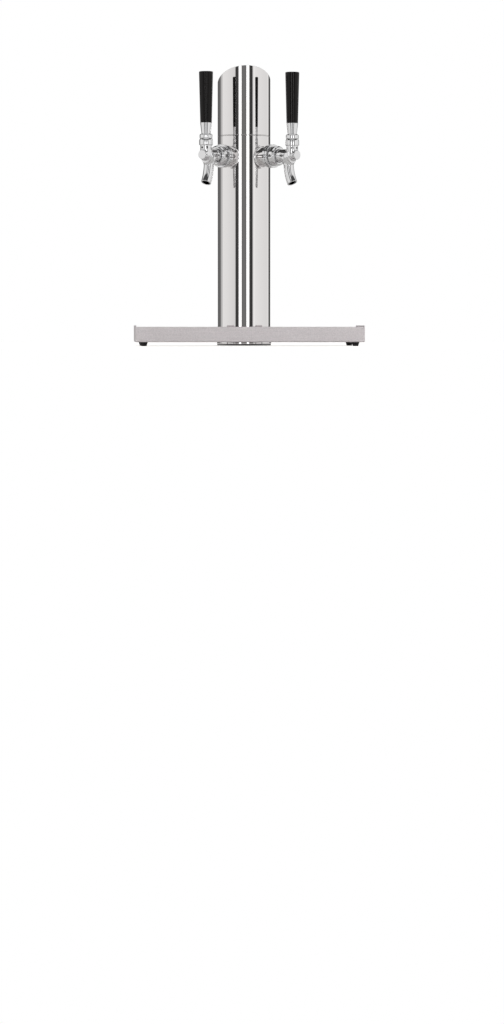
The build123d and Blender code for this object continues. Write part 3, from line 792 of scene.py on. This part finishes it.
class BuildCap(bpy.types.Operator):
    """Build the slanted cap, its lid welded and buffed into the tube, and the spigot that plugs into the column"""

    bl_idname = "tower.build_cap"
    bl_label = "Build Cap"

    def execute(self, context):
        rim = context.scene.tower_column.rim_rounding
        slope = math.tan(CAP_SLANT)
        inner = COLUMN_RADIUS - COLUMN_WALL
        under = LID_THICKNESS / math.cos(CAP_SLANT)
        foot_edge, foot_bulge = 0.6 * MM, 0.18 * MM
        steps, verts, faces = 288, [], []
        for step in range(steps):
            angle = 2 * math.pi * step / steps
            east, north = math.cos(angle), math.sin(angle)
            section = [
                (inner, CAP_FOOT), (COLUMN_RADIUS - foot_edge, CAP_FOOT),
                (COLUMN_RADIUS - foot_bulge, CAP_FOOT + foot_bulge), (COLUMN_RADIUS, CAP_FOOT + foot_edge),
            ]
            # The rim is rounded in the plane through the axis, between the wall and the sloping lid.
            fall = -slope * north
            down = np.array([0.0, -1.0])
            inward = np.array([-1.0, -fall]) / math.hypot(1, fall)
            corner = np.array([COLUMN_RADIUS, lid_height(COLUMN_RADIUS * north)])
            section += curve(corner + down * rim, corner, corner + inward * rim, 6)
            section += [(r, lid_height(r * north)) for r in (COLUMN_RADIUS * 0.8, COLUMN_RADIUS * 0.4)]
            roof = len(section)
            section += [(r, lid_height(r * north) - under) for r in (COLUMN_RADIUS * 0.4, inner)]
            verts += [(radius * east, radius * north, height) for radius, height in section]
        size, middle = len(section), len(verts)
        verts += [(0, 0, lid_height(0)), (0, 0, lid_height(0) - under)]
        for step in range(steps):
            here, beside = step * size, (step + 1) % steps * size
            strip = between(here, beside, size)
            # Where the section jumps from the lid's top to its underside, each is closed at the axis.
            strip[roof - 1 : roof] = [
                (here + roof - 1, middle, beside + roof - 1), (here + roof, beside + roof, middle + 1),
            ]
            faces += strip
        shell = raw_piece("cap_shell", verts, faces)
        put(shell, Matrix.Rotation(TOWER_TURN, 4, "Z"))
        complete(shell, "mirror_steel", "cap", "cap_tube", "cap_lid")
        make_spigot()
        return {"FINISHED"}


def lid_height(north):
    """Height of the slanted lid over a point this far behind the axis."""
    return CAP_TOP - (COLUMN_RADIUS + north) * math.tan(CAP_SLANT)


def make_spigot():
    """The spigot that plugs into the column: its lip shows as the seam, and its groove holds the seal."""
    lip = reach("cap_spigot")
    low, high = (corner.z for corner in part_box("cap_spigot"))
    bore, groove, plug, neck = 33.75 * MM, 34.92 * MM, 36.25 * MM, 36.5 * MM
    groove_foot, groove_top = COLUMN_TOP - 6.9 * MM, COLUMN_TOP - 5.1 * MM
    outline = rounded(
        [(bore, low, 0.3 * MM), (plug, low, 0.8 * MM), (plug, groove_foot), (groove, groove_foot),
         (groove, groove_top), (plug, groove_top), (plug, COLUMN_TOP), (lip, COLUMN_TOP, 0.35 * MM),
         (lip, CAP_FOOT, 0.35 * MM), (neck, CAP_FOOT), (neck, high, 0.4 * MM), (bore, high, 0.3 * MM)], 4,
    )
    piece = raw_piece("cap_plug", *turned(outline, 240))
    complete(piece, "mirror_steel", "cap", "cap_spigot")


class BuildTaps(bpy.types.Operator):
    """Build each tap's flange, coupling nut, casting and bonnet"""

    bl_idname = "tower.build_taps"
    bl_label = "Build Taps"

    def execute(self, context):
        grid = context.scene.tower_tap.casting_grid / MM
        points, quads, normals = surface_net(casting_field, (63.5, -13, -45), (107, 13, 21), grid)
        for side in SIDES:
            make_flange(side)
            make_nut(side)
            make_casting(side, points, quads, normals)
            make_bonnet(side)
        return {"FINISHED"}


def make_flange(side):
    """The shank's flange, with the groove round its rim."""
    outline = rounded(
        in_mm([(11.4, 51), (16.6, 51, 0.7), (16.6, 55.5, 0.15), (15.6, 55.5, 0.1), (15.6, 56.7, 0.1),
               (16.6, 56.7, 0.15), (16.6, 60, 0.7), (11.4, 60)]), 4,
    )
    turned_piece(f"{side}_flange", outline, 192, tap_axis(side), "chrome", "tower", f"{side}_shank_flange")


def make_nut(side):
    """The coupling nut, with four holes in its rim."""
    outline = rounded(
        in_mm([(12.2, 60.3, 0.3), (14.2, 60.3, 0.5), (14.2, 70.8, 3.4), (9.7, 70.8, 0.4), (9.7, 67.8), (12.2, 67.8)]),
        8,
    )
    hole_radius, hole_from, hole_to, hole_height = 2.2 * MM, 9 * MM, 18 * MM, 64.05 * MM
    piece = raw_piece(f"{side}_nut", *turned(outline, 192))
    cutter = rod("cutter", hole_radius, hole_from, hole_to, 32)
    cutter.data.transform(Matrix.Rotation(math.pi / 2, 4, "Y"))
    cutter.data.transform(Matrix.Translation((0, 0, hole_height)))
    run_tree(
        piece, ring_tree(), cutter=cutter, count=4, circle_radius=0.01 * MM, first_angle=0.0,
        material=finish_for("chrome"),
    )
    bpy.data.objects.remove(cutter)
    put(piece, tap_axis(side))
    complete(piece, "chrome", "tower", f"{side}_coupling_nut")


def make_casting(side, points, quads, normals):
    """The casting is made for the right tap; the left one is its mirror image."""
    hand = SIDES[side]
    verts = np.stack([points[:, 1] * hand, -points[:, 0], points[:, 2]], 1) * MM
    faces = quads if hand > 0 else quads[:, ::-1]
    facing = np.stack([normals[:, 1] * hand, -normals[:, 0], normals[:, 2]], 1)
    mesh = bpy.data.meshes.new(f"{side}_casting")
    mesh.from_pydata(verts.tolist(), [], faces.tolist())
    piece = bpy.data.objects.new(f"{side}_casting", mesh)
    bpy.context.scene.collection.objects.link(piece)
    turn = tap_turn(side)
    mesh.shade_smooth()
    put(piece, turn @ Matrix.Translation((0, 0, TAP_HEIGHT)))
    mesh.normals_split_custom_set_from_vertices([turn.to_3x3() @ Vector(n) for n in facing])
    complete(piece, "chrome", "tower", f"{side}_faucet_body", shade=False)


def make_bonnet(side):
    """The bonnet, with the dome that the lever's collar swings over."""
    outline = rounded(in_mm([(8.4, 13.2), (9.75, 13.2, 1.2), (9.75, 20.1)]), 4)
    dome, centre = 10.09 * MM, 17.5 * MM
    for angle in np.linspace(math.radians(15), math.radians(43), 8)[1:]:
        outline.append((dome * math.cos(angle), centre + dome * math.sin(angle)))
    outline += [np.array(p) for p in in_mm([(6.9, 24.3), (5.95, 20.9), (8.4, 20.9)])]
    turned_piece(
        f"{side}_bonnet_shell", outline, 160, lever_axis(side), "chrome", "tower", f"{side}_bonnet", sharp=40
    )


class BuildHandles(bpy.types.Operator):
    """Build each lever's collar, ferrule and moulded grip"""

    bl_idname = "tower.build_handles"
    bl_label = "Build Handles"

    def execute(self, context):
        for side in SIDES:
            body = f"{side}_handle"
            hollow, centre, foot, mouth = 10.39, 17.5, 23.1, 4.85
            angles = np.linspace(math.asin((foot - centre) / hollow), math.acos(mouth / hollow), 8)
            bowl = [(hollow * math.cos(a), centre + hollow * math.sin(a)) for a in angles]
            collar = rounded(in_mm([(9.2, foot, 0.9), (9.2, 29.6, 2.4), (mouth, 29.6, 0.2), *bowl[::-1]]), 8)
            ferrule = rounded(
                in_mm([(mouth, 29.6), (6.45, 29.6, 0.25), (8.3, 45.2, 0.3), (3.1, 45.2, 0.2), (3.1, 41.6),
                       (mouth, 41.6)]), 4,
            )
            grip = rounded(
                in_mm([(3.1, 45.2), (8.2, 45.2, 0.25), (10.0, 117.2, 1.3), (0, 117.2), (0, 65.2), (3.1, 65.2)]), 8,
            )
            for name, outline, steps, slot, node in (
                ("collar", collar, 160, "chrome", "lever_collar"),
                ("ferrule", ferrule, 144, "chrome", "handle_ferrule"),
                ("grip", grip, 160, "black_gloss", "handle_grip"),
            ):
                turned_piece(f"{side}_{name}", outline, steps, lever_axis(side), slot, body, f"{side}_{node}")
        return {"FINISHED"}


def block(name, low, high):
    """A box between two corners."""
    verts = [(x, y, z) for x in (low[0], high[0]) for y in (low[1], high[1]) for z in (low[2], high[2])]
    faces = [(0, 1, 3, 2), (4, 6, 7, 5), (0, 4, 5, 1), (2, 3, 7, 6), (0, 2, 6, 4), (1, 5, 7, 3)]
    return raw_piece(name, verts, faces)


def ease_edges(piece, radius, wanted, segments=4):
    """Round the edges that a test picks."""
    work = bmesh.new()
    work.from_mesh(piece.data)
    edges = [e for e in work.edges if wanted(e.verts[0].co, e.verts[1].co)]
    bmesh.ops.bevel(work, geom=edges, offset=radius, segments=segments, profile=0.5, affect="EDGES")
    work.to_mesh(piece.data)
    work.free()


class BuildTray(bpy.types.Operator):
    """Build the drip tray's pan, its rubber feet and their screws"""

    bl_idname = "tower.build_tray"
    bl_label = "Build Tray"

    def execute(self, context):
        low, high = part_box("tray_pan")
        sheet, bend, side_rise = 1.4 * MM, 1.5 * MM, 2 * MM
        pan = block("pan", low, high)
        ease_edges(pan, bend, lambda a, b: abs(a.z - b.z) > 1 * MM or max(a.z, b.z) < low.z + 1 * MM)
        inside = block("cutter", low + Vector((sheet, sheet, sheet)), high + Vector((-sheet, -sheet, 10 * MM)))
        ease_edges(inside, 0.6 * MM, lambda a, b: abs(a.z - b.z) > 1 * MM or max(a.z, b.z) < low.z + 3 * MM, 3)
        ends = block(
            "cutter", (low.x + sheet, low.y - 1 * MM, high.z - side_rise),
            (high.x - sheet, high.y + 1 * MM, high.z + 1 * MM),
        )
        carve(pan, inside, ends)
        bevel = pan.modifiers.new("edges", "BEVEL")
        bevel.width, bevel.segments, bevel.limit_method, bevel.angle_limit = 0.22 * MM, 2, "ANGLE", math.radians(50)
        settle(pan)
        complete(pan, "satin_steel", "tray", "tray_pan")
        make_feet(low, high)
        return {"FINISHED"}


def make_feet(low, high):
    """The tray's rubber feet and their screws, one of each at every corner."""
    inset_x, inset_y = 12 * MM, 13 * MM
    centre = Vector(((low.x + high.x) / 2, (low.y + high.y) / 2, 0))
    span = (high.x - low.x - 2 * inset_x, high.y - low.y - 2 * inset_y)
    tree = grid_tree()
    foot = rounded(in_mm([(1.5, 0.9), (2.6, 0, 0.2), (3.75, 0, 0.5), (5.5, 5.5, 0.3), (1.5, 5.5)]), 4)
    pad = raw_piece("foot_shape", *turned(foot, 48))
    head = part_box("tray_foot_screws")[1].z / MM
    screw = rounded(
        in_mm([(0, 1.95), (1.4, 1.95, 0.3), (1.4, 6.9), (2.75, 6.9, 0.2), (2.75, head, 0.7), (1.2, head),
               (0.9, head - 0.8), (0, head - 0.8)]), 4,
    )
    pin = raw_piece("screw_shape", *turned(screw, 40))
    for name, shape, slot, node in (
        ("tray_pads", pad, "rubber", "tray_feet"), ("tray_screws", pin, "satin_steel", "tray_foot_screws"),
    ):
        piece = raw_piece(name, [], [])
        run_tree(
            piece, tree, shape=shape, columns=2, rows=2, width=span[0], depth=span[1], centre=centre,
            cut_out=False, material=finish_for(slot),
        )
        bpy.data.objects.remove(shape)
        complete(piece, slot, "tray", node)


class BuildGrille(bpy.types.Operator):
    """Build the pressed grille with its rows of drain slots"""

    bl_idname = "tower.build_grille"
    bl_label = "Build Grille"

    def execute(self, context):
        settings = context.scene.tower_tray
        low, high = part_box("tray_grille")
        sheet = 1.2 * MM
        plate = block("grille", low, high)
        ease_edges(plate, 1.0 * MM, lambda a, b: abs(a.z - b.z) > 1 * MM or min(a.z, b.z) > high.z - 1 * MM)
        hollow = block("cutter", low + Vector((sheet, sheet, -1 * MM)), high - Vector((sheet, sheet, sheet)))
        carve(plate, hollow)
        half, end_reach = settings.slot_width / 2, settings.slot_length / 2 - settings.slot_width / 2
        verts, faces, arc = [], [], 8
        flare, pitch_along, pitch_across = 0.35 * MM, 10 * MM, 36 * MM
        levels = ((high.z - 2 * sheet, 0), (high.z - flare, 0), (high.z, flare), (high.z + flare, 2 * flare))
        for height, grow in levels:
            radius = half + grow
            for end in (1, -1):
                for step in range(arc + 1):
                    angle = math.pi * step / arc + (0 if end > 0 else math.pi)
                    verts.append((radius * math.cos(angle), end * end_reach + radius * math.sin(angle), height))
        size = 2 * (arc + 1)
        for ring in range(len(levels) - 1):
            faces += between(ring * size, (ring + 1) * size, size)
        faces += [tuple(range(size)), tuple(range((len(levels) - 1) * size, len(levels) * size))]
        slot = raw_piece("slot_shape", verts, faces)
        columns, rows = settings.slot_columns, settings.slot_rows
        run_tree(
            plate, grid_tree(), shape=slot, columns=columns, rows=rows, width=(columns - 1) * pitch_along,
            depth=(rows - 1) * pitch_across, centre=Vector(((low.x + high.x) / 2, (low.y + high.y) / 2, 0)),
            cut_out=True, material=finish_for("satin_steel"),
        )
        bpy.data.objects.remove(slot)
        complete(plate, "satin_steel", "grille", "tray_grille")
        return {"FINISHED"}


class DressParts(bpy.types.Operator):
    """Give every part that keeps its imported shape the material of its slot"""

    bl_idname = "tower.dress_parts"
    bl_label = "Dress Parts"

    def execute(self, context):
        slots = {part["node"]: part["material_slot"] for part in frame["record"]["subparts"]}
        for name, node in frame["nodes"].items():
            node.data.materials.clear()
            node.data.materials.append(finish_for(slots[name]))
        return {"FINISHED"}


class SetStage(bpy.types.Operator):
    """Set the counter, the studio light and the camera"""

    bl_idname = "tower.set_stage"
    bl_label = "Set Stage"

    def execute(self, context):
        make_counter(context.scene.tower_stage.floor_colour)
        make_studio(context.scene)
        make_camera(context.scene)
        context.scene.view_settings.view_transform = "Standard"
        return {"FINISHED"}


def make_counter(colour):
    """A round pale counter, a product table lit from below."""
    steps, reach_out = 128, 0.7
    angles = [2 * math.pi * i / steps for i in range(steps)]
    rim = [(reach_out * math.cos(a), reach_out * math.sin(a), 0) for a in angles]
    floor = raw_piece("counter", rim, [tuple(range(steps))])
    material, tree, shader = new_material("counter_laminate", Roughness=0.75)
    shade = pattern(tree, (3, 3, 3), detail=2)
    two_tones(tree, shader, spread(tree, shade, 0, 1), [c * 0.985 for c in colour], colour)
    # Its glow is full for the lens and lower for the metal, which keeps its shaded undersides.
    seen = add_node(tree, "ShaderNodeLightPath").outputs["Is Camera Ray"]
    lens_extra, metal_glow = 0.55, 0.05
    glow = work_out(tree, "MULTIPLY_ADD", seen, lens_extra, metal_glow)
    tree.links.new(glow, shader.inputs["Emission Strength"])
    shader.inputs["Emission Color"].default_value = (*colour, 1)
    floor.data.materials.append(material)


def make_studio(scene):
    """A studio round the tower: two tall lights beside the lens, black flags outside them, pale sweeps behind."""
    world = bpy.data.worlds.new("studio")
    scene.world = world
    world.use_nodes = True
    tree = world.node_tree
    tree.nodes.clear()
    coords = add_node(tree, "ShaderNodeTexCoord")
    axes = add_node(tree, "ShaderNodeSeparateXYZ", Vector=coords.outputs["Generated"])
    around = work_out(tree, "ARCTAN2", axes.outputs["X"], work_out(tree, "MULTIPLY", axes.outputs["Y"], -1.0))
    bearing = work_out(tree, "ADD", around, scene.tower_stage.camera_turn)
    off_lens = work_out(tree, "ABSOLUTE", bearing)
    bands = tree.nodes.new("ShaderNodeValToRGB")
    # Brightness of the room at each bearing from the lens, in degrees.
    stops = [
        (-180, 0.9), (-168, 0.9), (-162, 0.1), (-138, 0.16), (-124, 0.2), (-119, 0.62), (-110, 0.64), (-106, 1.02),
        (-80, 0.99), (-44, 0.9), (-38.5, 0.86), (-36.5, 0.06), (-27, 0.05), (-24, 0.2), (-9, 0.17), (0, 0.22),
        (9, 0.17), (24, 0.2), (27, 0.05), (37, 0.05), (39, 0.8), (44, 1.15), (50, 1.04), (80, 0.98), (122, 0.92),
        (126, 1.0), (134, 0.98), (137, 0.08), (162, 0.08), (168, 0.9), (180, 0.9),
    ]
    ramp = bands.color_ramp
    while len(ramp.elements) < len(stops):
        ramp.elements.new(0.5)
    for element, (degrees, _) in zip(ramp.elements, stops):
        element.position = (degrees + 180) / 360
    for element, (_, value) in zip(ramp.elements, stops):
        element.color = (value, value * 0.995, value * 0.985, 1)
    share = add_node(
        tree, "ShaderNodeMapRange", Value=bearing, From_Min=-math.pi, From_Max=math.pi, To_Min=0.0, To_Max=1.0
    )
    tree.links.new(share.outputs["Result"], bands.inputs["Fac"])
    room = bands.outputs["Color"]
    # A dark band above, a pale ceiling over it, and a grey floor.
    for low, high, grey in ((0.56, 0.8, 0.08), (0.8, 2.0, 0.95), (-2.0, -0.3, 0.4)):
        room = blend(tree, window(tree, axes.outputs["Z"], low, high, 0.04), room, (grey, grey, grey, 1))
    # Each light is a tall pale panel with a short bright core at the height of the handles.
    lights = []
    for inner, outer, soft, low, high, fade in ((10.1, 23.1, 0.9, -0.4, 0.55, 0.03), (14, 19, 0.6, -0.03, 0.09, 0.015)):
        wide = window(tree, off_lens, math.radians(inner), math.radians(outer), math.radians(soft))
        lights.append(work_out(tree, "MULTIPLY", wide, window(tree, axes.outputs["Z"], low, high, fade)))
    panel_strength, core_strength = 1.1, 4.0
    panel = work_out(tree, "MULTIPLY", lights[0], panel_strength)
    lamp = work_out(tree, "MULTIPLY_ADD", lights[1], core_strength, panel)
    lit = blend(tree, 1.0, room, lamp, "ADD")
    seen = add_node(tree, "ShaderNodeLightPath").outputs["Is Camera Ray"]
    light = add_node(tree, "ShaderNodeBackground", Color=blend(tree, seen, lit, (1, 1, 1, 1)), Strength=1.0)
    add_node(tree, "ShaderNodeOutputWorld", Surface=light.outputs["Background"])


def make_camera(scene):
    """The lens in front of the tower, just above the counter."""
    stage = scene.tower_stage
    lens = bpy.data.cameras.new("camera")
    focal_length, aside, pitch = 109.2, math.radians(0.147), math.radians(3.48)
    lens.lens = focal_length
    camera = bpy.data.objects.new("camera", lens)
    scene.collection.objects.link(camera)
    turn, far = stage.camera_turn, stage.camera_distance
    camera.location = (-far * math.sin(turn), -far * math.cos(turn), stage.camera_height)
    camera.rotation_euler = (math.pi / 2 - pitch, 0, -turn - aside)
    scene.camera = camera


class TowerPanel(bpy.types.Panel):
    """Settings and steps of the beer tap tower"""

    bl_label = "Beer Tap Tower"
    bl_idname = "VIEW3D_PT_beer_tap_tower"
    bl_space_type = "VIEW_3D"
    bl_region_type = "UI"
    bl_category = "Tower"

    def draw(self, context):
        for owner in GROUPS:
            box = self.layout.box()
            settings = getattr(context.scene, owner)
            for name in GROUPS[owner].__annotations__:
                box.prop(settings, name)
        for step in STEPS:
            self.layout.operator(step.bl_idname)


GROUPS = {
    "tower_column": ColumnSettings,
    "tower_tap": TapSettings,
    "tower_tray": TraySettings,
    "tower_stage": StageSettings,
}
STEPS = [SetStage, DressParts, BuildColumn, BuildCap, BuildTaps, BuildHandles, BuildTray, BuildGrille]


def register():
    for group in GROUPS.values():
        bpy.utils.register_class(group)
    for owner, group in GROUPS.items():
        setattr(bpy.types.Scene, owner, PointerProperty(type=group))
    for step in (*STEPS, TowerPanel):
        bpy.utils.register_class(step)


def unregister():
    for step in reversed((*STEPS, TowerPanel)):
        bpy.utils.unregister_class(step)
    for owner, group in reversed(GROUPS.items()):
        delattr(bpy.types.Scene, owner)
        bpy.utils.unregister_class(group)


def main():
    register()
    bpy.ops.tower.set_stage()
    bpy.ops.tower.dress_parts()
    bpy.ops.tower.build_column()
    bpy.ops.tower.build_cap()
    bpy.ops.tower.build_taps()
    bpy.ops.tower.build_handles()
    bpy.ops.tower.build_tray()
    bpy.ops.tower.build_grille()


if __name__ == "__main__":
    main()
